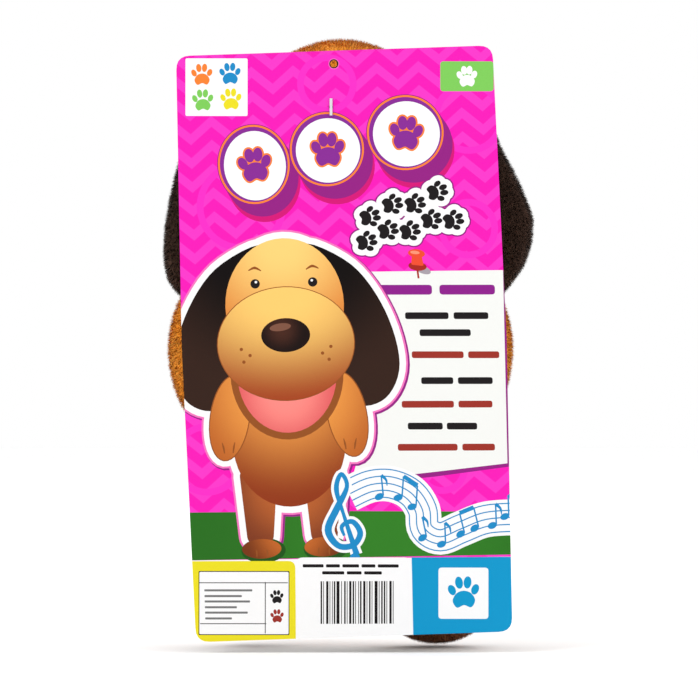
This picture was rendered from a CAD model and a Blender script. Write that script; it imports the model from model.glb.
# %% [markdown]
# # A plush dog hand puppet tied to its printed backing card
# The puppet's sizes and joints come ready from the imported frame, so this
# notebook only has to make it look real. We work in metres, +Z up, and every
# piece rides on the frame's body that moves it.

# %% Load the frame
import bpy, bmesh, math
import numpy as np
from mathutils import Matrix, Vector
from mathutils.geometry import delaunay_2d_cdt


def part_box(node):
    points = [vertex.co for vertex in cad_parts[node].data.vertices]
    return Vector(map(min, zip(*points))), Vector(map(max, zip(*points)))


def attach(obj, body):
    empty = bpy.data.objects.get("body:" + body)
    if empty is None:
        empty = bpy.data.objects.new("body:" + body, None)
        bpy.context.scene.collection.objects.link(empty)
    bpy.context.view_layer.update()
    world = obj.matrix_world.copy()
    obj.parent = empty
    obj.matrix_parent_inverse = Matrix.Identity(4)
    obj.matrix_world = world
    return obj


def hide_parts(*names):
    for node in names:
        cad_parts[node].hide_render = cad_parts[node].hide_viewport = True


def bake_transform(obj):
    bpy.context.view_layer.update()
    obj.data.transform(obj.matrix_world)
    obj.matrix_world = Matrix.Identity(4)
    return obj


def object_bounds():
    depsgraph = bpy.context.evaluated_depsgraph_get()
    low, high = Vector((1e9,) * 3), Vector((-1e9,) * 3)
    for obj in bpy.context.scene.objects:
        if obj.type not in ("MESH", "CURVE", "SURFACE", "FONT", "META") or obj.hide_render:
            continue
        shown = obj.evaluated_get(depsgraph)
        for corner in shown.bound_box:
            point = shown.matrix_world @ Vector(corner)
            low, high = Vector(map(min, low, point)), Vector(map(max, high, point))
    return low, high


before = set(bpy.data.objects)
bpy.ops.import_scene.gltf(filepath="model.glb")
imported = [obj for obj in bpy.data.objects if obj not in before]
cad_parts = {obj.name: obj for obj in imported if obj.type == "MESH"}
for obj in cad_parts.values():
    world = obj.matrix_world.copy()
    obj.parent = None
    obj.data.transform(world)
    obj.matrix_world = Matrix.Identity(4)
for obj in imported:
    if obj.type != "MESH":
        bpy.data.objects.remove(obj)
start_low, start_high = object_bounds()
mm = 0.001

# %% [markdown]
# ## Camera
# The card faces -Y, so the camera stands at -Y and looks straight along +Y.
# A long lens from three metres keeps the card's edges parallel, as a shop's
# product picture does.

# %% The camera
lens_data = bpy.data.cameras.new("camera")
camera = bpy.data.objects.new("camera", lens_data)
bpy.context.scene.collection.objects.link(camera)
view_width, view_distance = 0.3274, 3.0
lens_data.lens = lens_data.sensor_width * view_distance / view_width
camera.location = (0.00375, -0.0271 - view_distance, 0.1034)
camera.rotation_euler = (math.radians(90), 0, 0)
bpy.context.scene.camera = camera
print("lens", round(lens_data.lens, 1), "mm")

# %% [markdown]
# ## Light and floor
# Flat card print wants even light. A white surround gives the even part, and
# three large area lights add enough direction for the plush to show its form.

# %% Light, surround and floor
scene = bpy.context.scene
scene.view_settings.view_transform = "Standard"
scene.world = bpy.data.worlds.new("surround")
scene.world.use_nodes = True
scene.world.node_tree.nodes["Background"].inputs["Color"].default_value = (1, 1, 1, 1)
scene.world.node_tree.nodes["Background"].inputs["Strength"].default_value = 1.0


def soft_light(name, place, aim, size, watts):
    data = bpy.data.lights.new(name, "AREA")
    data.size, data.energy = size, watts
    lamp = bpy.data.objects.new(name, data)
    lamp.location = place
    lamp.rotation_euler = (Vector(aim) - Vector(place)).to_track_quat("-Z", "Y").to_euler()
    scene.collection.objects.link(lamp)
    return lamp


soft_light("key", (-1.6, -2.2, 2.0), (0, 0, 0.1), 1.2, 30)
soft_light("fill", (2.2, -1.6, 0.9), (0, 0, 0.1), 1.6, 9)
soft_light("back_fill", (0.6, 2.6, 1.6), (0, 0, 0.1), 1.6, 16)

floor_mesh = bpy.data.meshes.new("floor")
wide, below = 6.0, start_low.z - 0.0028
floor_mesh.from_pydata(
    [(-wide, -wide, below), (wide, -wide, below), (wide, wide, below), (-wide, wide, below)],
    [], [(0, 1, 2, 3)])
floor = bpy.data.objects.new("floor", floor_mesh)
scene.collection.objects.link(floor)
print("floor at", round(below, 4))

# %% [markdown]
# ## Node helpers
# Each finish is a small node tree on a Principled shader. One helper adds a
# node with its values or wires, another starts a material, so each finish
# below stays short enough to read.

# %% Helpers for materials
exposure = 0.80  # the surround and the lamps together light white to 1/0.80


def tone(red, green, blue, share=exposure):
    """A colour given as it looks on a screen, 0 to 255, made ready for a shader."""
    def linear(value):
        value /= 255
        return value / 12.92 if value < 0.04045 else ((value + 0.055) / 1.055) ** 2.4
    return tuple(linear(v) * share for v in (red, green, blue)) + (1.0,)


def put(mat, kind, inputs=None, **settings):
    """Adds a node to a material, with its settings, values and wires."""
    made = mat.node_tree.nodes.new(kind)
    for key, value in settings.items():
        setattr(made, key, value)
    for key, value in (inputs or {}).items():
        if isinstance(value, bpy.types.NodeSocket):
            mat.node_tree.links.new(value, made.inputs[key])
        else:
            made.inputs[key].default_value = value
    return made


def new_finish(name, colour, rough, **values):
    mat = bpy.data.materials.new(name)
    mat.use_nodes = True
    shader = mat.node_tree.nodes["Principled BSDF"]
    shader.inputs["Base Color"].default_value = colour
    shader.inputs["Roughness"].default_value = rough
    for key, value in values.items():
        shader.inputs[key.replace("_", " ")].default_value = value
    mat.diffuse_color = colour
    return mat, shader


def wire(mat, output, shader, name):
    mat.node_tree.links.new(output, shader.inputs[name])


def spot(mat):
    return put(mat, "ShaderNodeTexCoord").outputs["Object"]


def two_tone(mat, factor, colour_a, colour_b):
    mix = put(mat, "ShaderNodeMix", {0: factor}, data_type="RGBA")
    mix.inputs[6].default_value, mix.inputs[7].default_value = colour_a, colour_b
    return mix.outputs[2]


def relief(mat, shader, height, strength, depth):
    bump = put(mat, "ShaderNodeBump", {"Height": height, "Strength": strength, "Distance": depth})
    wire(mat, bump.outputs[0], shader, "Normal")


floor_mat, floor_shader = new_finish("floor_paper", (1.0, 1.0, 1.0, 1), 0.9)
grain = put(floor_mat, "ShaderNodeTexNoise", {"Vector": spot(floor_mat), "Scale": 40.0})
wire(floor_mat, two_tone(floor_mat, grain.outputs[0], (1.0, 1.0, 1.0, 1), (0.985, 0.985, 0.985, 1)),
     floor_shader, "Base Color")
floor_mesh.materials.append(floor_mat)

# %% [markdown]
# ## Plush finish
# The cloth is a knitted pile: thousands of short soft fibres. The fibres are
# real mesh, added further down, so the material only has to vary their
# colour. Broad noise gives the brushed patches, a value stored on each fibre
# makes neighbours differ, and sheen lightens them where they turn away.

# %% Plush materials
def plush_finish(name, dark, middle, light):
    mat, shader = new_finish(name, middle, 0.88, Sheen_Weight=0.10, Sheen_Roughness=0.45,
                             Specular_IOR_Level=0.10)
    where = spot(mat)
    patches = put(mat, "ShaderNodeTexNoise", {"Vector": where, "Scale": 95.0, "Detail": 4.0})
    fine = put(mat, "ShaderNodeTexNoise", {"Vector": where, "Scale": 1400.0, "Detail": 2.0})
    fibre = put(mat, "ShaderNodeAttribute", attribute_name="fibre")
    blend = put(mat, "ShaderNodeMath", {0: patches.outputs[0], 1: fibre.outputs["Fac"]}, operation="ADD")
    ramp = put(mat, "ShaderNodeValToRGB", {"Fac": put(
        mat, "ShaderNodeMath", {0: blend.outputs[0], 1: 0.5}, operation="MULTIPLY").outputs[0]})
    stops = ramp.color_ramp.elements
    stops[0].position, stops[0].color = 0.22, dark
    stops[1].position, stops[1].color = 0.78, light
    stops.new(0.5).color = middle
    wire(mat, ramp.outputs[0], shader, "Base Color")
    relief(mat, shader, fine.outputs[0], 0.35, 0.0004)
    return mat


tan_plush = plush_finish("tan_plush", tone(214, 118, 22, 1), tone(242, 152, 44, 1), tone(255, 188, 92, 1))
paw_plush = plush_finish("paw_plush", tone(138, 76, 38, 1), tone(168, 98, 54, 1), tone(196, 126, 76, 1))
ear_plush = plush_finish("ear_plush", tone(58, 42, 36), tone(84, 62, 52), tone(116, 88, 72))
nose_plush = plush_finish("nose_plush", tone(24, 17, 16), tone(44, 31, 28), tone(72, 52, 45))
print("four plush finishes")

# %% [markdown]
# ## Lining finish
# The hand lining and the mouth are thin woven or brushed cloth. A fine wave
# in two directions gives the weave in the relief, with a little soiling of
# the colour so that it isn't flat.

# %% Woven materials
def woven_finish(name, light, dark, threads=900.0, depth=0.00012):
    mat, shader = new_finish(name, light, 0.8, Sheen_Weight=0.12, Sheen_Roughness=0.5)
    where = spot(mat)
    warp = put(mat, "ShaderNodeTexWave", {"Vector": where, "Scale": threads / 6.28}, bands_direction="X")
    weft = put(mat, "ShaderNodeTexWave", {"Vector": where, "Scale": threads / 6.28}, bands_direction="Z")
    cross = put(mat, "ShaderNodeMath", {0: warp.outputs["Fac"], 1: weft.outputs["Fac"]},
                operation="MAXIMUM")
    patches = put(mat, "ShaderNodeTexNoise", {"Vector": where, "Scale": 70.0, "Detail": 3.0})
    shade = put(mat, "ShaderNodeMath", {0: patches.outputs[0], 1: cross.outputs[0]}, operation="MULTIPLY")
    wire(mat, two_tone(mat, shade.outputs[0], dark, light), shader, "Base Color")
    relief(mat, shader, cross.outputs[0], 0.5, depth)
    return mat


pink_cloth = woven_finish("pink_cloth", tone(250, 132, 128), tone(205, 88, 92))
white_cloth = woven_finish("white_cloth", tone(238, 232, 222), tone(196, 188, 176))
thread = woven_finish("sewing_thread", tone(178, 112, 52), tone(120, 72, 30), 2500.0, 0.00005)

# %% [markdown]
# ## Hard plastic
# The eyes are glossy black plastic with a clear lacquer, and the washers and
# the tag pin are plain moulded nylon with faint flow marks.

# %% Plastic materials
def moulded_finish(name, colour, other, rough, **values):
    mat, shader = new_finish(name, colour, rough, **values)
    flow = put(mat, "ShaderNodeTexNoise", {"Vector": spot(mat), "Scale": 420.0, "Detail": 3.0})
    wire(mat, two_tone(mat, flow.outputs[0], colour, other), shader, "Base Color")
    relief(mat, shader, flow.outputs[0], 0.08, 0.00005)
    return mat


eye_plastic = moulded_finish("eye_plastic", tone(8, 6, 6), tone(20, 15, 14), 0.16,
                             Specular_IOR_Level=0.35, Coat_Weight=0.25, Coat_Roughness=0.04)
washer_plastic = moulded_finish("washer_plastic", tone(226, 226, 220), tone(200, 200, 196), 0.42)
clear_nylon = moulded_finish("clear_nylon", tone(236, 236, 238), tone(206, 208, 214), 0.3)
for name, mat, slot in (("eye_left", eye_plastic, "eye_plastic"), ("eye_right", eye_plastic, "eye_plastic"),
                        ("eye_washer_left", washer_plastic, "washer_plastic"),
                        ("eye_washer_right", washer_plastic, "washer_plastic"),
                        ("tag_pin", clear_nylon, "tag_plastic")):
    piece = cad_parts[name]
    for index in range(len(piece.material_slots)):
        piece.material_slots[index].material = mat
print("plastic on the eyes, washers and tag pin")

# %% [markdown]
# ## Drawing on the card
# The card's print is made as flat closed shapes laid over each other, in
# millimetres from the middle of the card: X to the right, Z up. The helpers
# make ovals, soft closed outlines, rounded boxes and pen strokes, and each
# shape is kept with the name of its ink until the sheet is cut.

# %% Shapes in millimetres
painted = []


def paint(ink, shape):
    painted.append((ink, np.asarray(shape, float)))


def oval(x, z, half_x, half_z, turn=0, steps=36):
    angle = np.linspace(0, 2 * np.pi, steps, endpoint=False)
    a, b = half_x * np.cos(angle), half_z * np.sin(angle)
    c, s = np.cos(np.radians(turn)), np.sin(np.radians(turn))
    return np.c_[x + a * c - b * s, z + a * s + b * c]


def flowing(points, closed=True, steps=6):
    """A soft line through the points."""
    p = np.asarray(points, float)
    n, out = len(p), []
    for i in range(n if closed else n - 1):
        at = (lambda k: p[k % n]) if closed else (lambda k: p[min(max(k, 0), n - 1)])
        a, b, c, d = at(i - 1), at(i), at(i + 1), at(i + 2)
        for t in np.linspace(0, 1, steps, endpoint=False):
            out.append(0.5 * (2 * b + (c - a) * t + (2 * a - 5 * b + 4 * c - d) * t * t
                              + (3 * b - a - 3 * c + d) * t ** 3))
    if not closed:
        out.append(p[-1])
    return np.array(out)


def across(line):
    """The left-hand direction at each point of an open line."""
    along = np.gradient(line, axis=0)
    along /= np.linalg.norm(along, axis=1)[:, None] + 1e-9
    return np.c_[-along[:, 1], along[:, 0]]


def stroke(points, width, soft=True):
    """A pen stroke of one width, or of a row of widths that it takes along its length."""
    line = flowing(points, closed=False) if soft else np.asarray(points, float)
    side = across(line)
    widths = np.atleast_1d(width)
    half = np.interp(np.linspace(0, 1, len(line)), np.linspace(0, 1, len(widths)), widths)[:, None] / 2
    return np.r_[line + side * half, (line - side * half)[::-1]]


def grown(shape, by):
    """The shape, made larger all round."""
    shape = np.asarray(shape, float)
    ahead, behind = np.roll(shape, -1, 0), np.roll(shape, 1, 0)
    along = ahead - behind
    along /= np.linalg.norm(along, axis=1)[:, None] + 1e-9
    area = np.sum(shape[:, 0] * ahead[:, 1] - ahead[:, 0] * shape[:, 1])
    return shape + np.c_[along[:, 1], -along[:, 0]] * by * (1 if area > 0 else -1)


def rounded(corners, radius, steps=5):
    """A box or other straight-sided shape with its corners rounded."""
    p, out = np.asarray(corners, float), []
    radii = radius if np.size(radius) > 1 else [radius] * len(p)
    for i, r in enumerate(radii):
        a, b, c = p[i - 1], p[i], p[(i + 1) % len(p)]
        if r <= 0:
            out.append(b)
            continue
        u, v = (a - b) / np.linalg.norm(a - b), (c - b) / np.linalg.norm(c - b)
        for t in np.linspace(0, 1, steps + 1):
            out.append(b + r * ((1 - t) ** 2 * u + t ** 2 * v))
    return np.array(out)


def plain_box(x0, z0, x1, z1, radius=0.0, turn=0.0):
    mid = np.array([(x0 + x1) / 2, (z0 + z1) / 2])
    c, s = np.cos(np.radians(turn)), np.sin(np.radians(turn))
    shape = rounded([(x0, z0), (x1, z0), (x1, z1), (x0, z1)], radius) - mid
    return shape @ np.array([[c, s], [-s, c]]) + mid


print("drawing helpers ready")

# %% [markdown]
# ## Backing card ground
# The card is a tall sheet with rounded corners, slightly wider at its middle
# than at its ends. A magenta field covers it, a green strip of grass crosses
# it low down, and below the grass it is plain board under three blocks.

# %% Card outline, grass and blocks
card_outline = np.vstack([
    rounded([(-74.2, -137.5), (74.2, -137.5), (76.2, 0), (74.2, 137.5), (-74.2, 137.5), (-76.2, 0)],
            [6.5, 6.5, 0, 6.5, 6.5, 0])])
tall_left, tall_right = (-80, 145), (80, 145)
paint("magenta", [(-80, -145), (80, -145), tall_right, tall_left])
for x, z, r in ((-46, 66, 21), (62, 104, 17), (-4, 122, 14), (60, 52, 14), (-66, -52, 17), (44, -60, 12)):
    paint("magenta_glow", oval(x, z, r, r))
    paint("magenta", oval(x, z, r - 3.2, r - 3.2))
paint("grass", [(-80, -76.5), (0, -78.5), (80, -81.5), (80, -101.5), (-80, -99)])
paint("label_white", [(-80, -99), (80, -102.5), (80, -145), (-80, -145)])

# %% [markdown]
# ## Three title shapes
# The heading is three fat round badges, each with a paw print on it, since
# this part carries no words. Each is drawn from the bottom up: a glow, a
# shadow that falls to the lower right, an orange line, a purple rim and the
# white face.

# %% Paw prints and badges
def paw(x, z, size, turn=0.0):
    """A pad and four toes, as a list of shapes. The size is half its height."""
    c, s = np.cos(np.radians(turn)), np.sin(np.radians(turn))
    pad = flowing([(0, 0.12), (0.42, -0.02), (0.66, -0.45), (0.42, -0.86), (0, -0.72), (-0.42, -0.86),
                   (-0.66, -0.45), (-0.42, -0.02)])
    toes = [oval(-0.68, 0.18, 0.22, 0.32, 24, 20), oval(-0.25, 0.60, 0.23, 0.36, 7, 20),
            oval(0.25, 0.60, 0.23, 0.36, -7, 20), oval(0.68, 0.18, 0.22, 0.32, -24, 20)]
    return [shape @ np.array([[c, s], [-s, c]]) * size + (x, z) for shape in [pad] + toes]


def title_badge(x, z, half_x, half_z, turn):
    face = oval(x, z, half_x, half_z, turn, 48)
    for ink, by, dx, dz in (("title_glow", 2.6, 4.4, -8.2), ("title_glow", 2.6, 2.6, -4.6),
                            ("title_shadow", 2.6, 3.6, -5.6), ("title_shadow", 2.6, 2.4, -3.8),
                            ("title_shadow", 2.6, 1.2, -1.9), ("title_shadow", 2.6, 0, 0),
                            ("title_orange", 2.2, 0, 0), ("title_rim", 1.3, 0, 0),
                            ("title_white", -0.1, 0.5, -0.6)):
        paint(ink, grown(face, by) + (dx, dz))
    for ink, by in (("title_orange", 1.2), ("title_rim", 0.4)):
        for shape in paw(x + 0.4, z - 0.4, 8.0, turn):
            paint(ink, grown(shape, by))


title_badge(-39.5, 85.5, 14.6, 16.4, 5)
title_badge(-5, 91.5, 15.2, 15.2, 0)
title_badge(32, 98, 15.8, 15.4, -6)

# %% [markdown]
# ## Corner marks and track
# A white square and a green tab sit in the top corners, and a track of small
# black paw prints with white rims climbs to the right under the heading,
# where a product's own name would be.

# %% Corner square, tab and track
paint("label_white", plain_box(-70.3, 108.8, -41.2, 135.8, 0.8, -2))
for ink, (dx, dz) in zip(("title_orange", "note_blue", "tab_green", "sun_yellow"),
                         ((-6.6, 6), (6.6, 6), (-6.6, -6), (6.6, -6))):
    for shape in paw(-55.8 + dx, 122.3 + dz, 5.4):
        paint(ink, shape)
paint("tab_green", plain_box(49.3, 116.4, 74.3, 130.4, 1.6, -2))
for shape in paw(61.8, 123.2, 5.0):
    paint("label_white", grown(shape, 0.25))


paint("rim_pink", oval(-0.4, 131.4, 2.5, 2.5, steps=28))
paint("print_black", oval(-0.4, 131.4, 2.15, 2.15, steps=28))


def track(x0, z0, x1, z1, count, size):
    for step in range(count):
        t = step / (count - 1)
        lift = 1.4 if step % 2 else -1.4
        yield x0 + (x1 - x0) * t, z0 + (z1 - z0) * t + lift, size


prints = list(track(14, 60.5, 46, 68.5, 4, 5.2)) + list(track(12, 49.0, 53, 57.5, 5, 5.2))
for ink, by in (("title_shadow", 3.3), ("label_white", 2.6), ("print_black", 0.1)):
    for x, z, size in prints:
        for shape in paw(x, z, size, -78):
            paint(ink, grown(shape, by))

# %% [markdown]
# ## Notice panel
# A white notice held by a push pin lists the puppet's points in lines of
# lettering. Here each line is a row of plain bars, as long and as dark as
# words would be, so the panel keeps its weight and says nothing.

# %% Notice panel, its lines and the push pin
panel_shape = [(13.2, 33.4), (75.6, 32), (74.6, -58.6), (40, -61.5),
               (1.2, -64.5), (9, -40), (15, -12), (14.2, 10)]
paint("title_shadow", grown(np.array(panel_shape), 1.0) + (0.3, -1.2))
paint("panel_white", panel_shape)


def bar_line(ink, x0, z0, x1, z1, height, words):
    """Bars of uneven length along a line, with gaps where spaces would be."""
    space = 0.35
    total = sum(words) + space * (len(words) - 1)
    at = 0.0
    for word in words:
        from_share, to_share = at / total, (at + word) / total
        left_x, left_z = x0 + (x1 - x0) * from_share, z0 + (z1 - z0) * from_share
        right_x, right_z = x0 + (x1 - x0) * to_share, z0 + (z1 - z0) * to_share
        paint(ink, rounded([(left_x, left_z - height / 2), (right_x, right_z - height / 2),
                            (right_x, right_z + height / 2), (left_x, left_z + height / 2)], height * 0.35))
        at += word + space


line_height = 3.2
bar_line("heading_purple", 16, 24.8, 71.5, 23, 4.6, (2.6, 2.6))
for line in (("print_black", 29, 12.2, 68, 10.9, line_height, (3, 2.4)),
             ("print_black", 35.5, 4, 59.5, 3.2, line_height, (3,)),
             ("line_red", 31.5, -6.2, 72.5, -7.6, line_height, (4, 2.4)),
             ("print_black", 35.5, -18.5, 69, -19.6, line_height, (2.4, 2.6)),
             ("line_red", 26, -29.3, 68.5, -30.6, line_height, (4, 2.6)),
             ("print_black", 28.5, -39.6, 61, -40.7, line_height, (3, 2.6)),
             ("line_red", 23.5, -49.4, 69, -50.8, line_height, (4.4, 2.4))):
    bar_line(*line)
paint("pin_shade", oval(37.8, 33.6, 4.2, 1.8, -24))
paint("pin_dark", stroke([(35.4, 34.5), (35.9, 29.5)], 0.9, soft=False))
paint("pin_dark", oval(35.6, 35.2, 4.3, 2.1, -8))
paint("pin_red", rounded([(32.6, 36.0), (38.6, 35.2), (37.6, 40.6), (33.2, 41.0)], 1.0))
paint("pin_red", oval(35.3, 41.2, 4.0, 2.0, -8))
paint("pin_light", oval(34.6, 41.7, 2.2, 0.8, -8))

# %% [markdown]
# ## Picture of a puppy
# The middle of the card shows the puppet as a soft airbrushed puppy. It is a
# plain puppy of our own, put together from ovals and a few soft outlines, one
# side drawn and the other mirrored. The white rim with its pink shadow is
# made by growing every part first.

# %% The puppy
puppy_x = -27.3


def both_sides(shape):
    """A shape drawn to the right of the puppy's middle line, and its mirror."""
    shape = np.asarray(shape, float)
    return [shape + (puppy_x, 0), shape[::-1] * (-1, 1) + (puppy_x, 0)]


ears = both_sides(flowing([(10, 47), (32, 37), (47, 15), (53, -10),
                           (46, -26), (32, -28), (26, -8), (26, 20)]))
skull = oval(puppy_x, 19, 27.8, 31.5, steps=48)
belly = oval(puppy_x, -45, 26.5, 30.5, steps=48)
arms = both_sides(oval(27.5, -33, 9.0, 20.0, 10))
legs = both_sides(rounded([(6, -58), (24, -58), (21, -92), (9, -92)], 3))
feet = both_sides(oval(14.6, -94.8, 9.2, 4.6))
chin = oval(puppy_x, -13, 26.5, 31, steps=48)
tongue = oval(puppy_x, -13, 23.3, 27.8, steps=48)
snout = oval(puppy_x, 1, 32, 26.5, steps=56)
silhouette = ears + arms + legs + [skull, belly, chin, snout]
for ink, by, drop in (("title_shadow", 4.2, 0.6), ("rim_pink", 3.9, 0), ("label_white", 3.0, 0)):
    for shape in silhouette:
        paint(ink, grown(shape, by) + (drop, -drop))
for shape in feet:
    paint("grass_dark", grown(shape, 1.2) + (0.8, -0.8))
for ink, shapes in (("fur_ear", ears), ("fur_leg", legs), ("fur_foot", feet), ("fur_body", [belly]),
                    ("fur_shade", [grown(arm, 0.5) for arm in arms]), ("fur_arm", arms),
                    ("fur_head", [skull]),
                    ("fur_shade", [chin]), ("mouth_pink", [tongue]), ("fur_shade", [grown(snout, 0.4)]),
                    ("fur_muzzle", [snout]), ("nose_dark", [oval(puppy_x, 5, 11.5, 8)])):
    for shape in shapes:
        paint(ink, shape)
paint("nose_light", oval(puppy_x - 2.4, 8.8, 5, 1.8, 6))
for shape in both_sides(oval(13.5, 29.5, 2.2, 2.2)):
    paint("print_black", shape)
for shape in both_sides(oval(13.1, 30.3, 0.6, 0.6, steps=14)):
    paint("label_white", shape)
marks = both_sides(stroke([(10.5, 35.5), (13.5, 37), (16.5, 35.8)], (0.4, 1.3, 0.4)))
for x, z in ((17, -4), (21, -1), (20, -7)):
    marks += both_sides(oval(x, z, 0.8, 0.8, steps=14))
for x, lean in ((26.5, -1), (30.5, 1)):
    marks += both_sides(stroke([(x, -49.5), (x + 0.4 * lean, -46.8), (x + lean, -44.4)], (0.5, 0.9, 0.3)))
for x in (12, 17):
    marks += both_sides(stroke([(x, -98.6), (x, -96.6), (x + 0.3, -95)], (0.4, 0.8, 0.3)))
for shape in marks:
    paint("fur_shade", shape)
print(len(painted), "shapes painted so far")

# %% [markdown]
# ## Ribbon of notes
# Across the grass a ribbon of five thin lines waves off to the right, with a
# blue clef-like curl and a few plain notes. A stroke whose width changes from
# end to end does for all of them.

# %% Ribbon, curl and notes
ribbon = flowing([(0, -70.5), (10, -66.5), (20, -66.5), (29, -71), (34, -79),
                  (35, -88), (42, -92), (52, -88.5), (64, -84.5), (80, -84)], closed=False)
ribbon_side = across(ribbon)
paint("label_white", np.r_[ribbon + ribbon_side * 8.4, (ribbon - ribbon_side * 8.4)[::-1]])
for step in range(5):
    middle = ribbon + ribbon_side * (step - 2) * 3.3
    paint("note_blue", np.r_[middle + ribbon_side * 0.28, (middle - ribbon_side * 0.28)[::-1]])
curl = [(2.5, -99), (-3, -80), (-6, -68), (-3.5, -61), (-1, -67), (-6, -77), (-10.5, -87),
        (-6, -94.5), (1, -94.5), (4.5, -89), (1, -83.5), (-4, -85.5), (-3, -90)]
curl_width = (3.0, 1.6, 2.4, 2.0, 2.0, 3.2, 3.4, 2.8, 2.8, 2.8, 2.4, 2.0, 1.2)
paint("label_white", stroke(curl, tuple(w + 2.6 for w in curl_width)))
paint("note_blue", stroke(curl, curl_width))
paint("note_blue", oval(1.6, -100.4, 2.4, 2.1))


def note(x, z, tilt, tall=9.5, flag=True):
    """A note with its head at x, z. Gives back the top of its stem."""
    paint("note_blue", oval(x, z, 2.2, 1.55, 20 + tilt))
    c, s = math.cos(math.radians(tilt)), math.sin(math.radians(tilt))
    foot, top = (x + 1.9 * c, z + 0.5), (x + 1.9 * c - tall * s, z + 0.5 + tall * c)
    paint("note_blue", stroke([foot, top], 0.75, soft=False))
    if flag:
        paint("note_blue", stroke([top, (top[0] + 2.2, top[1] - 2.2), (top[0] + 2.6, top[1] - 5)],
                                  (1.7, 1.1, 0.4)))
    return top


def joined_notes(first, second, tilt):
    """Two notes whose stems are joined by a beam."""
    tops = [note(x, z, tilt, flag=False) for x, z in (first, second)]
    paint("note_blue", stroke(tops, 2.0, soft=False))


note(14, -72.2, 4)
joined_notes((22.8, -73), (29.2, -77.5), -6)
note(33.6, -92.2, 10)
note(42.4, -95.5, 0)
joined_notes((51.5, -91), (58.2, -88.5), 12)
note(66.5, -87.5, 0)
note(72.5, -83.5, 0)

# %% [markdown]
# ## Blocks along the foot
# Below the grass are a yellow block with a ruled box of plain bars, a white
# label with plain stripes of uneven width, and a blue block with a paw print
# on a white square.

# %% Yellow, white and blue blocks
block_turn = -2  # degrees, which brings a block near to level on the tilted card
paint("sun_yellow", rounded([(-80, -99.3), (-80, -138), (-27.3, -138), (-26.4, -101)], [0, 0, 0, 3.5]))
paint("print_black", plain_box(-72.4, -134.9, -29.8, -104.9, 0.6, block_turn))
paint("label_white", plain_box(-72.0, -134.5, -30.2, -105.3, 0.6, block_turn))
for x0, z0, x1, z1 in ((-72, -110.6, -30.2, -110.2), (-41.4, -134.5, -41.0, -110.4),
                       (-72, -129.6, -41, -129.2)):
    paint("print_black", plain_box(x0, z0, x1, z1, 0, block_turn))
for row, long in enumerate((0.9, 0.7, 0.85, 0.6, 0.8, 0.5)):
    paint("line_grey", plain_box(-69.5, -114.2 - 2.6 * row, -69.5 + 25 * long, -113.2 - 2.6 * row,
                                   0.3, block_turn))
for shape in paw(-35.6, -117.6, 3.4):
    paint("print_black", shape)
for shape in paw(-35.8, -126.6, 3.4):
    paint("line_red", shape)
paint("note_sky", rounded([(28.2, -101.2), (80, -102.6), (80, -145), (27.2, -145)], 0))
paint("label_white", rounded([(-26.2, -99.4), (-27.6, -145), (27.6, -145), (28.2, -101.2)],
                             [3.5, 0, 0, 3.5]))
bar_line("print_black", -23, -103.4, 22, -105, 1.5, (3, 2, 2.4, 2, 3))
bar_line("print_black", -14, -107, 14, -108, 1.5, (3, 2, 2.4))
left = -15.2
for wide_bar, gap in zip((6, 3, 9, 3, 3, 6, 12, 3, 6, 3, 9, 6, 3, 3, 6, 9, 3, 6, 3, 12, 3, 6, 6, 3, 9, 3),
                         (4, 8, 4, 6, 4, 4, 6, 8, 4, 6, 4, 4, 8, 4, 6, 4, 6, 4, 8, 4, 6, 4, 4, 8, 4, 4)):
    stripe = plain_box(left, -131.4, left + wide_bar * 0.12, -111.4, 0, block_turn)
    paint("print_black", stripe + (0, -0.03 * left))
    left += (wide_bar + gap) * 0.124
paint("label_white", plain_box(40.2, -130.8, 63.6, -106.8, 1.6, block_turn))
for shape in paw(52, -118.6, 8.0):
    paint("note_sky", shape)
print(len(painted), "shapes in all")

# %% [markdown]
# ## Inks
# Inks are gloss-laminated paper. Most are one colour with the faint grain of
# a printed dot. The puppy's are airbrushed: a second colour comes in from a
# chosen point, by distance, so each part looks round.

# %% Ink materials
card_tilt = math.radians(1.95)
card_middle = Vector((0.0015, -0.0271, 0.1042))


def on_card(mat):
    """The place on the card, in metres from its middle, with the tilt taken out."""
    moved = put(mat, "ShaderNodeVectorMath", {0: spot(mat), 1: tuple(card_middle)}, operation="SUBTRACT")
    turned = put(mat, "ShaderNodeVectorRotate", {"Vector": moved.outputs[0], "Angle": card_tilt},
                 rotation_type="Y_AXIS")
    return turned.outputs[0]


def math_node(mat, operation, a, b=0.0, c=0.0):
    return put(mat, "ShaderNodeMath", {0: a, 1: b, 2: c}, operation=operation).outputs[0]


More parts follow.
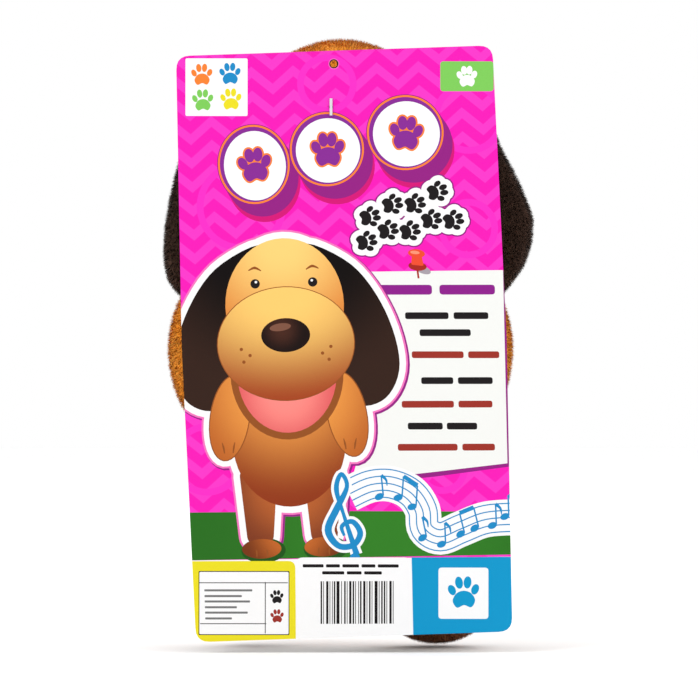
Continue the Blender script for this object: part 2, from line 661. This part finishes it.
def ink_finish(name, colour, other=None, centre=(0, 0), reach=(0.0, 20.0), stretch=(1, 1)):
    """An ink, from screen colours. The other colour comes in from the centre over the reach."""
    colour = tone(*colour)
    mat, shader = new_finish(name, colour, 0.34, Coat_Weight=0.03, Coat_Roughness=0.2,
                             Specular_IOR_Level=0.06)
    where = on_card(mat)
    dots = put(mat, "ShaderNodeTexNoise", {"Vector": where, "Scale": 2600.0, "Detail": 1.0})
    if other:
        xyz = put(mat, "ShaderNodeSeparateXYZ", {0: where})
        squares = []
        for axis, middle, squeeze in ((0, centre[0], stretch[0]), (2, centre[1], stretch[1])):
            away = math_node(mat, "SUBTRACT", xyz.outputs[axis], middle * mm)
            away = math_node(mat, "MULTIPLY", away, squeeze)
            squares.append(math_node(mat, "MULTIPLY", away, away))
        far = math_node(mat, "SQRT", math_node(mat, "ADD", *squares))
        share = put(mat, "ShaderNodeMapRange",
                    {"Value": far, "From Min": reach[0] * mm, "From Max": reach[1] * mm},
                    interpolation_type="SMOOTHSTEP").outputs[0]
        wire(mat, two_tone(mat, share, colour, tone(*other)), shader, "Base Color")
    else:
        paler = tuple(min(1, v * 0.97 + 0.004) for v in colour[:3]) + (1,)
        wire(mat, two_tone(mat, dots.outputs[0], colour, paler), shader, "Base Color")
    relief(mat, shader, dots.outputs[0], 0.05, 0.00003)
    return mat


inks = {row[0]: ink_finish(*row) for row in (
    ("title_glow", (214, 20, 120)), ("title_shadow", (150, 32, 132)), ("title_rim", (138, 44, 150)),
    ("title_orange", (255, 132, 52)), ("title_white", (255, 255, 255)), ("label_white", (252, 252, 252)),
    ("panel_white", (245, 246, 242)), ("tab_green", (128, 206, 92)), ("print_black", (26, 22, 24)),
    ("line_red", (158, 50, 40)), ("line_grey", (120, 120, 120)), ("heading_purple", (142, 30, 140)),
    ("pin_red", (240, 78, 48)), ("pin_dark", (170, 40, 28)), ("pin_light", (255, 150, 118)),
    ("pin_shade", (170, 160, 168)), ("rim_pink", (245, 120, 192)), ("grass_dark", (30, 84, 24)),
    ("grass", (52, 128, 38), (42, 110, 32), (20, -88), (10, 90)),
    ("note_blue", (30, 140, 200)), ("note_sky", (7, 153, 205)), ("sun_yellow", (238, 224, 36)),
    ("mouth_pink", (252, 140, 132), (226, 92, 96), (-28, -22), (6, 26)),
    ("fur_shade", (150, 82, 34)), ("nose_light", (128, 84, 66)),
    ("nose_dark", (72, 40, 30), (28, 16, 14), (-29, 7.5), (1, 11)),
    ("fur_ear", (14, 8, 8), (54, 34, 26), (-27, 60), (36, 84)),
    ("fur_head", (255, 212, 122), (222, 122, 46), (-28, 48), (4, 54)),
    ("fur_muzzle", (255, 206, 112), (164, 66, 32), (-28, 24), (6, 52), (0.7, 1)),
    ("fur_body", (240, 156, 74), (146, 58, 26), (-28, -22), (2, 52)),
    ("fur_arm", (236, 152, 70), (190, 100, 42), (-27, -20), (18, 48)),
    ("fur_leg", (186, 98, 48), (128, 60, 34), (-27, -66), (8, 32)),
    ("fur_foot", (196, 104, 44), (120, 56, 24), (-27, -86), (8, 24)),
    ("magenta_glow", (255, 46, 200)))}

# %% [markdown]
# ## Magenta ground
# The ground carries rows of chevrons, a little lighter than the rest. In a
# material they are cheap: fold X back and forth, add it to Z, and keep the
# part of each row that falls under a set share.

# %% The chevron ink
magenta, magenta_shader = new_finish("magenta", tone(252, 18, 186), 0.34, Coat_Weight=0.08,
                                     Coat_Roughness=0.2, Specular_IOR_Level=0.12)
place_on_card = put(magenta, "ShaderNodeSeparateXYZ", {0: on_card(magenta)})
chevron_half, row_height = 0.0098, 0.0112
folded = math_node(magenta, "PINGPONG", place_on_card.outputs[0], chevron_half)
row = math_node(magenta, "DIVIDE", math_node(magenta, "ADD", place_on_card.outputs[2],
                                             math_node(magenta, "MULTIPLY", folded, 0.85)), row_height)
part_of_row = math_node(magenta, "FRACT", math_node(magenta, "ADD", row, 100.0))
edge = put(magenta, "ShaderNodeMapRange", {"Value": math_node(magenta, "ABSOLUTE", math_node(
    magenta, "SUBTRACT", part_of_row, 0.5)), "From Min": 0.21, "From Max": 0.25}).outputs[0]
wire(magenta, two_tone(magenta, edge, tone(252, 52, 200), tone(250, 14, 184)), magenta_shader, "Base Color")
inks["magenta"] = magenta

# %% [markdown]
# ## Bare board
# The back of the card is grey-white board with short paper fibres, and its
# cut edge is a little darker. Stretched noise makes the fibres.

# %% Board materials
def board_finish(name, light, dark):
    mat, shader = new_finish(name, light, 0.85, Specular_IOR_Level=0.2)
    squeezed = put(mat, "ShaderNodeMapping", {"Vector": spot(mat), "Scale": (1.0, 1.0, 0.3)})
    fibres = put(mat, "ShaderNodeTexNoise", {"Vector": squeezed.outputs[0], "Scale": 700.0, "Detail": 6.0})
    wire(mat, two_tone(mat, fibres.outputs[0], light, dark), shader, "Base Color")
    relief(mat, shader, fibres.outputs[0], 0.2, 0.00008)
    return mat


board_back = board_finish("board_back", tone(226, 224, 216), tone(186, 182, 172))
board_edge = board_finish("board_edge", tone(214, 208, 196), tone(160, 152, 140))

# %% [markdown]
# ## Cutting the card
# All the shapes are cut into one sheet of triangles at once, with
# `delaunay_2d_cdt`, and each triangle takes the ink of the topmost shape over
# it. That gives one clean sheet with sharp print and no stacked layers. A
# grid of extra points lets the sheet bow a little, as thin card does.

# %% The printed card
def inside(shape, points):
    """Which points the shape goes round, by its winding."""
    turns = np.zeros(len(points), int)
    ahead = np.roll(shape, -1, 0)
    for (x0, z0), (x1, z1) in zip(shape, ahead):
        left_of = (x1 - x0) * (points[:, 1] - z0) - (points[:, 0] - x0) * (z1 - z0)
        turns += ((z0 <= points[:, 1]) & (z1 > points[:, 1]) & (left_of > 0)).astype(int)
        turns -= ((z0 > points[:, 1]) & (z1 <= points[:, 1]) & (left_of < 0)).astype(int)
    return turns != 0


hang_hole = oval(-0.4, 131.4, 1.65, 1.65, steps=28)
pin_hole = oval(-2.4, 111.2, 1.0, 1.0, steps=20)
points, edges = [], []
for shape in [card_outline, hang_hole, pin_hole] + [shape for _, shape in painted]:
    shape = np.clip(shape, (-79.9, -144.9), (79.9, 144.9))
    first = len(points)
    points += [tuple(p) for p in shape]
    edges += [(first + i, first + (i + 1) % len(shape)) for i in range(len(shape))]
for x in np.arange(-72, 73, 8.0):
    for z in np.arange(-132, 133, 8.0):
        points.append((x + 0.013, z + 0.017))
flat_verts, _, flat_faces, _, _, _ = delaunay_2d_cdt([Vector(p) for p in points], edges, [], 0, 1e-4, False)
spots = np.array([tuple(v) for v in flat_verts])
faces = np.array([tuple(f) for f in flat_faces if len(f) == 3])
middles = spots[faces].mean(axis=1)
keep = inside(card_outline, middles) & ~inside(hang_hole, middles) & ~inside(pin_hole, middles)
a, b, c = (spots[faces[:, k]] for k in range(3))
area = (b[:, 0] - a[:, 0]) * (c[:, 1] - a[:, 1]) - (c[:, 0] - a[:, 0]) * (b[:, 1] - a[:, 1])
keep &= np.abs(area) > 1e-7
faces, middles, area = faces[keep], middles[keep], area[keep]
faces[area < 0] = faces[area < 0][:, ::-1]
ink_names = list(inks)
ink_of = np.full(len(faces), ink_names.index("magenta"))
for name, shape in painted:
    low, high = shape.min(0), shape.max(0)
    near = np.nonzero(np.all((middles >= low) & (middles <= high), axis=1))[0]
    hit = near[inside(shape, middles[near])]
    ink_of[hit] = ink_names.index(name)

used, faces = np.unique(faces, return_inverse=True)
faces = faces.reshape(-1, 3)
spots = spots[used]
bow = 0.9 * (spots[:, 0] / 76) ** 2 + 0.5 * (spots[:, 1] / 137) ** 2
turn_c, turn_s = math.cos(card_tilt), math.sin(card_tilt)
front = np.c_[card_middle.x + (spots[:, 0] * turn_c - spots[:, 1] * turn_s) * mm,
              card_middle.y - bow * mm,
              card_middle.z + (spots[:, 0] * turn_s + spots[:, 1] * turn_c) * mm]
card_thick = 0.0006
back = front + (0, card_thick, 0)
front_count = len(front)
seen = {}
for f in faces:
    for i in range(3):
        key = (f[i], f[(i + 1) % 3])
        seen[key] = seen.get(key, 0) + 1
rim = [(int(i), int(j)) for (i, j) in seen if (j, i) not in seen]
card_faces = [tuple(int(i) for i in f) for f in faces]
card_faces += [tuple(int(i) + front_count for i in f[::-1]) for f in faces]
card_faces += [(j, i, i + front_count, j + front_count) for i, j in rim]
card_mesh = bpy.data.meshes.new("printed_card")
card_mesh.from_pydata([tuple(p) for p in np.vstack([front, back])], [], card_faces)
for name in ink_names:
    card_mesh.materials.append(inks[name])
card_mesh.materials.append(board_back)
card_mesh.materials.append(board_edge)
slot_of = np.r_[ink_of, np.full(len(faces), len(ink_names)), np.full(len(rim), len(ink_names) + 1)]
card_mesh.polygons.foreach_set("material_index", slot_of.astype(np.int32))
card_mesh.update()
card = bpy.data.objects.new("printed_card", card_mesh)
scene.collection.objects.link(card)
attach(card, "card")
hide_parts("backing_card")
print("card of", len(card_faces), "faces,", len(rim), "along its cut edge")

# %% [markdown]
# ## From sewn parts to soft forms
# The frame holds each plush part as stiff shells and filling. We join the
# shells, remesh the lot into one skin and relax it, which rounds the edges as
# filling does in a sewn bag, and keeps the part where the frame has it.

# %% Soft form helper
def skin_over(name, nodes, voxel, relax=6):
    """One relaxed skin over the frame's nodes."""
    joined = bmesh.new()
    for node in nodes:
        joined.from_mesh(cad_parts[node].data)
    mesh = bpy.data.meshes.new(name)
    joined.to_mesh(mesh)
    joined.free()
    piece = bpy.data.objects.new(name, mesh)
    scene.collection.objects.link(piece)
    remesh = piece.modifiers.new("remesh", "REMESH")
    remesh.mode, remesh.voxel_size = "VOXEL", voxel
    smooth = piece.modifiers.new("relax", "SMOOTH")
    smooth.factor, smooth.iterations = 0.5, relax
    made = bpy.data.meshes.new_from_object(piece.evaluated_get(bpy.context.evaluated_depsgraph_get()))
    piece.modifiers.clear()
    made.name = name
    piece.data = made
    keep_largest(piece)
    piece.data.shade_smooth()
    return piece


def keep_largest(piece):
    """Takes away the small closed hollows that a remesh leaves inside."""
    work = bmesh.new()
    work.from_mesh(piece.data)
    seen, islands = set(), []
    for start in work.verts:
        if start in seen:
            continue
        island, line = [], [start]
        seen.add(start)
        while line:
            vert = line.pop()
            island.append(vert)
            for edge in vert.link_edges:
                other = edge.other_vert(vert)
                if other not in seen:
                    seen.add(other)
                    line.append(other)
        islands.append(island)
    largest = max(islands, key=len)
    loose = [v for island in islands if island is not largest for v in island]
    bmesh.ops.delete(work, geom=loose, context="VERTS")
    work.to_mesh(piece.data)
    work.free()


def unwrap(piece):
    """Lays the skin out flat, so that each fibre can take its root's place."""
    bpy.ops.object.select_all(action="DESELECT")
    piece.select_set(True)
    bpy.context.view_layer.objects.active = piece
    piece.data.uv_layers.new(name="OFBake")
    bpy.ops.object.mode_set(mode="EDIT")
    bpy.ops.mesh.select_all(action="SELECT")
    bpy.ops.uv.smart_project(angle_limit=math.radians(66), island_margin=0.003)
    bpy.ops.object.mode_set(mode="OBJECT")


# %% [markdown]
# ## The pile
# Hair particles would not leave the scene with the model, so each fibre is a
# slim triangle of mesh, rooted in the skin and leaning the way the cloth was
# brushed. The fibres borrow the skin's own normals, which makes thousands of
# them shade as one soft surface, and only the outline looks furry.

# %% Pile helper
def grow_pile(piece, mat, fibres, long, wide=0.00030, brushed=(0, 0, -1), lean=0.45, seed=1, where=None):
    chance = np.random.default_rng(seed)
    unwrap(piece)
    skin = piece.data
    skin.calc_loop_triangles()
    count = len(skin.vertices)
    co, normal = np.empty(count * 3), np.empty(count * 3)
    skin.vertices.foreach_get("co", co)
    skin.vertices.foreach_get("normal", normal)
    co, normal = co.reshape(-1, 3), normal.reshape(-1, 3)
    tris = np.empty(len(skin.loop_triangles) * 3, np.int32)
    corners = tris.copy()
    skin.loop_triangles.foreach_get("vertices", tris)
    skin.loop_triangles.foreach_get("loops", corners)
    tris, corners = tris.reshape(-1, 3), corners.reshape(-1, 3)
    flat = np.empty(len(skin.loops) * 2)
    skin.uv_layers["OFBake"].uv.foreach_get("vector", flat)
    flat = flat.reshape(-1, 2)
    p = co[tris]
    area = np.linalg.norm(np.cross(p[:, 1] - p[:, 0], p[:, 2] - p[:, 0]), axis=1)
    if where is not None:
        area = area * where(p.mean(axis=1), normal[tris].mean(axis=1))
    chosen = chance.choice(len(tris), fibres, p=area / area.sum())
    u, v = chance.random(fibres), chance.random(fibres)
    over = u + v > 1
    u[over], v[over] = 1 - u[over], 1 - v[over]
    share = np.c_[1 - u - v, u, v][:, :, None]
    root = (p[chosen] * share).sum(axis=1)
    up = (normal[tris[chosen]] * share).sum(axis=1)
    up /= np.linalg.norm(up, axis=1)[:, None] + 1e-9
    root_uv = (flat[corners[chosen]] * share).sum(axis=1)
    flow = np.asarray(brushed, float) - up * (up @ np.asarray(brushed, float))[:, None]
    clump = np.sin(root @ chance.normal(0, 260, (3, 3)) + chance.random(3) * 6) * 0.13
    way = up + flow * lean + clump + chance.normal(0, 0.2, (fibres, 3))
    way /= np.linalg.norm(way, axis=1)[:, None]
    side = np.cross(way, chance.normal(0, 1, (fibres, 3)) + up * 0.2)
    side /= np.linalg.norm(side, axis=1)[:, None] + 1e-9
    length = long * (0.65 + 0.5 * chance.random(fibres))[:, None]
    base = root - up * 0.0003
    blades = np.stack([base - side * wide / 2, base + side * wide / 2, base + way * length], axis=1)
    blades[:, :, 1] = np.maximum(blades[:, :, 1], card_middle.y + 0.0009)  # pressed flat by the card
    polys = [tuple(f.vertices) for f in skin.polygons]
    blade_faces = (np.arange(fibres * 3).reshape(-1, 3) + count).tolist()
    made = bpy.data.meshes.new(piece.name)
    made.from_pydata(np.vstack([co, blades.reshape(-1, 3)]).tolist(), [], polys + blade_faces)
    spread = np.repeat(root_uv, 3, axis=0) + np.tile([(0, 0), (2e-4, 0), (0, 2e-4)], (fibres, 1))
    layer = made.uv_layers.new(name="OFBake")
    layer.uv.foreach_set("vector", np.vstack([flat, spread]).astype(np.float32).ravel())
    own_tint = np.clip(chance.normal(0.5, 0.15, fibres), 0, 1)
    tint = np.repeat(own_tint, 3) + np.tile([-0.06, -0.06, 0.10], fibres)
    fibre = made.attributes.new("fibre", "FLOAT", "POINT")
    fibre.data.foreach_set("value", np.r_[np.full(count, 0.46), tint].astype(np.float32))
    made.shade_smooth()
    shading = np.vstack([normal, np.repeat(up * 0.9 + way * 0.1, 3, axis=0)])
    shading /= np.linalg.norm(shading, axis=1)[:, None] + 1e-9
    made.normals_split_custom_set_from_vertices(shading.tolist())
    made.materials.append(mat)
    made.update()
    piece.data = made
    print(piece.name, len(polys), "skin faces and", fibres, "fibres")
    return piece


def sewn(piece, mat, body, nodes):
    """Names a finished piece's material, body, frame nodes, slot, and its filling or flat cut."""
    if not piece.data.materials:
        piece.data.materials.append(mat)
    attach(piece, body)
    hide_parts(*nodes)
    return piece


# %% [markdown]
# ## Head and muzzle
# The head is a round stuffed ball with a channel for the fingers, and the
# muzzle a second, wider ball in front of it. The pile is brushed back from
# the nose and down over the cheeks.

# %% Head, muzzle and nose
head = skin_over("head_plush", ("head_back", "head_face", "head_stuffing"), 0.0024)
grow_pile(head, tan_plush, 120000, 0.0023, brushed=(0, -0.5, -1), seed=2)
sewn(head, tan_plush, "head", ("head_back", "head_face", "head_stuffing"))
muzzle = skin_over("muzzle_plush", ("muzzle", "muzzle_stuffing"), 0.0022)
grow_pile(muzzle, tan_plush, 60000, 0.0022, brushed=(0, -1, -0.3), seed=3)
sewn(muzzle, tan_plush, "head", ("muzzle", "muzzle_stuffing"))
nose = skin_over("nose_plush", ("nose",), 0.0012, relax=8)
grow_pile(nose, nose_plush, 9000, 0.0013, 0.00026, brushed=(0, -1, -0.4), seed=4)
sewn(nose, nose_plush, "head", ("nose",))

# %% [markdown]
# ## Mouth
# The mouth is two pink pads that meet at a fold, one on the head and one on
# the jaw, each stiffened by a board inside.

# %% Jaw and mouth pads
jaw = skin_over("jaw_plush", ("jaw", "jaw_stuffing"), 0.002)
grow_pile(jaw, tan_plush, 30000, 0.0021, brushed=(0, -1, -0.3), seed=5)
sewn(jaw, tan_plush, "jaw", ("jaw", "jaw_stuffing"))
palate = skin_over("palate_pad", ("palate", "palate_board"), 0.0009, relax=4)
sewn(palate, pink_cloth, "head", ("palate", "palate_board"))
tongue_pad = skin_over("tongue_pad", ("mouth_lining", "jaw_board"), 0.0009, relax=4)
sewn(tongue_pad, pink_cloth, "jaw", ("mouth_lining", "jaw_board"))

# %% [markdown]
# ## Ears
# Each ear is a long leaf of two plush layers that hangs from its root at the
# side of the head. The pile is brushed to the tip.

# %% Ears
def narrowed(piece, sign, inner, heights, shares):
    """Draws a hanging part in towards its inner edge, by a share at each height."""
    for vert in piece.data.vertices:
        share = float(np.interp(vert.co.z, heights, shares))
        vert.co.x = sign * (inner + (sign * vert.co.x - inner) * share)
    piece.data.update()


ear_shares = {"left": ((0.124, 0.136, 0.153, 0.170, 0.187, 0.205), (1.0, 1.0, 0.86, 0.75, 0.66, 0.62)),
              "right": ((0.124, 0.132, 0.142, 0.153, 0.164, 0.181, 0.198),
                        (0.76, 0.82, 0.92, 0.95, 0.94, 0.78, 0.62))}
for side, sign in (("left", -1), ("right", 1)):
    nodes = (f"ear_{side}", f"ear_{side}_inner")
    ear = skin_over(f"ear_{side}_plush", nodes, 0.0017, relax=10)
    narrowed(ear, sign, 0.055, *ear_shares[side])
    for vert in ear.data.vertices:  # thin at the root, plump low down, and curling a little forward
        z = vert.co.z
        plump = float(np.interp(z, (0.124, 0.134, 0.152, 0.175, 0.205), (0.80, 1.05, 1.12, 0.85, 0.62)))
        vert.co.y = 0.016 + (vert.co.y - 0.016) * plump + 0.0022 * math.sin((0.205 - z) * 38)
    grow_pile(ear, ear_plush, 44000, 0.0028, brushed=(0.15 * sign, 0, -1), seed=6 + sign)
    sewn(ear, ear_plush, f"ear_{side}", nodes)

# %% [markdown]
# ## Arms and legs
# Arms are flat stuffed ovals that hang from the shoulders. Legs are short
# tubes into round feet, in a darker brown than the body.

# %% Arms and feet
for side, sign in (("left", -1), ("right", 1)):
    nodes = (f"arm_{side}", f"arm_{side}_stuffing")
    arm = skin_over(f"arm_{side}_plush", nodes, 0.002)
    grow_pile(arm, tan_plush, 44000, 0.0023, brushed=(0.2 * sign, 0, -1), seed=20 + sign)
    sewn(arm, tan_plush, f"arm_{side}", nodes)
    nodes = (f"leg_{side}", f"foot_{side}", f"leg_{side}_stuffing")
    leg = skin_over(f"leg_{side}_plush", nodes, 0.002)
    if side == "left":  # this foot is squeezed behind the card
        narrowed(leg, sign, 0.0435, (-0.03, 0.03), (0.84, 0.84))
    grow_pile(leg, paw_plush, 44000, 0.0023, brushed=(0, 0.6, -1), seed=30 + sign)
    sewn(leg, paw_plush, f"leg_{side}", nodes)

# %% [markdown]
# ## Body sleeve
# The body is a tube of plush with a lining, open at the hem for the hand. It
# is thin, so its remesh is finer. The pile grows only on the outside. The
# linings are cloth held all round by their seams, so they are declared as
# stretched sheets. Each flat size is set to about the piece's own area.

# %% Sleeve, hem and linings
sleeve_nodes = ("front_panel", "back_panel", "neck_barrel")
sleeve = skin_over("sleeve_plush", sleeve_nodes, 0.0013, relax=4)


def outside_only(centre, normal):
    """1 where the skin faces away from the middle of the sleeve."""
    facing = normal[:, 0] * centre[:, 0] * 0.35 + normal[:, 1] * centre[:, 1]
    return (facing > 0.0004).astype(float)


grow_pile(sleeve, tan_plush, 95000, 0.0021, brushed=(0, 0, -1), seed=40, where=outside_only)
sewn(sleeve, tan_plush, "torso", sleeve_nodes)
for name, node, body, voxel, flat, area in (
        ("hem_facing", "hem_band", "torso", 0.0009, (0.225, 0.0125), None),
        ("hand_lining_cloth", "hand_lining", "torso", 0.0008, (0.208, 0.116), 0.0212),
        ("finger_pocket_cloth", "finger_pocket", "head", 0.0008, (0.128, 0.080), None),
        ("thumb_pocket_cloth", "thumb_pocket", "jaw", 0.0008, (0.0745, 0.0245), None)):
    piece = skin_over(name, (node,), voxel, relax=2)
    sewn(piece, white_cloth, body, (node,))
    print(name, len(piece.data.polygons), "faces")

# %% [markdown]
# ## Hem stitching
# A row of short stitches runs round the hem facing and holds it to the plush.
# Each stitch is a small six-sided bead of thread, pulled in at its two ends,
# laid along the facing's own outline.

# %% Hem stitches
def stitched_ring(name, height, half_x, half_y, stitch=0.0032, gap=0.0014, thick=0.0005):
    verts, faces = [], []
    root = math.sqrt((3 * half_x + half_y) * (half_x + 3 * half_y))
    around = math.pi * (3 * (half_x + half_y) - root)
    count = int(around / (stitch + gap))
    for n in range(count):
        first = len(verts)
        for k in range(5):
            t = 2 * math.pi * (n + (k / 4) * stitch / (stitch + gap)) / count
            lift = math.sin(math.pi * k / 4)
            mid = Vector((half_x * math.cos(t), half_y * math.sin(t), height))
            out_way = Vector((half_y * math.cos(t), half_x * math.sin(t), 0)).normalized()
            mid += out_way * (lift * 0.0003)
            radius = thick * (0.45 + 0.55 * lift)
            for j in range(6):
                turn = math.pi * j / 3
                verts.append(mid + out_way * radius * math.cos(turn) + Vector((0, 0, radius * math.sin(turn))))
        for k in range(4):
            for j in range(6):
                this, following = first + 6 * k + j, first + 6 * k + (j + 1) % 6
                faces.append((this, following, following + 6, this + 6))
        faces.append(tuple(first + j for j in range(5, -1, -1)))
        faces.append(tuple(first + 24 + j for j in range(6)))
    mesh = bpy.data.meshes.new(name)
    mesh.from_pydata(verts, [], faces)
    work = bmesh.new()
    work.from_mesh(mesh)
    bmesh.ops.recalc_face_normals(work, faces=work.faces)
    work.to_mesh(mesh)
    work.free()
    mesh.shade_smooth()
    mesh.materials.append(thread)
    piece = bpy.data.objects.new(name, mesh)
    scene.collection.objects.link(piece)
    print(name, count, "stitches")
    return piece


hem_low, hem_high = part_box("hem_band")
stitches = stitched_ring("hem_stitching", hem_low.z + 0.0042, (hem_high.x - hem_low.x) / 2 + 0.0001,
                         (hem_high.y - hem_low.y) / 2 + 0.0001)
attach(stitches, "torso")

# %% [markdown]
# ## Neck
# A plush gusset joins the sleeve to the head. It is the one place where the
# cloth has to bend when the head nods, so it blends from body to body.

# %% Neck gusset
def ringed_tube(name, rings, steps=72):
    """A closed-section tube through oval rings, given as height, middle and halves."""
    verts, faces = [], []
    for z, y, half_x, half_y in rings:
        for k in range(steps):
            t = 2 * math.pi * k / steps
            ripple = 1 + 0.012 * math.sin(9 * t + z * 900)
            verts.append((half_x * ripple * math.cos(t), y + half_y * ripple * math.sin(t), z))
    for r in range(len(rings) - 1):
        for k in range(steps):
            n = (k + 1) % steps
            faces.append((r * steps + k, r * steps + n, (r + 1) * steps + n, (r + 1) * steps + k))
    mesh = bpy.data.meshes.new(name)
    mesh.from_pydata(verts, [], faces)
    piece = bpy.data.objects.new(name, mesh)
    scene.collection.objects.link(piece)
    thick = piece.modifiers.new("cloth", "SOLIDIFY")
    thick.thickness, thick.offset = 0.0016, -1
    made = bpy.data.meshes.new_from_object(piece.evaluated_get(bpy.context.evaluated_depsgraph_get()))
    piece.modifiers.clear()
    piece.data = made
    made.shade_smooth()
    return piece


neck_rings = []
ring_count = 15
for k in range(ring_count):
    t = k / (ring_count - 1)
    neck_rings.append((0.119 + 0.032 * t, 0.001 + 0.006 * t, 0.0325 + 0.0015 * math.sin(math.pi * t),
                       0.0232 + 0.0025 * t))
neck = ringed_tube("neck_gusset", neck_rings)
grow_pile(neck, tan_plush, 16000, 0.0020, brushed=(0, 0, -1), seed=41, where=outside_only)
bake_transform(neck)
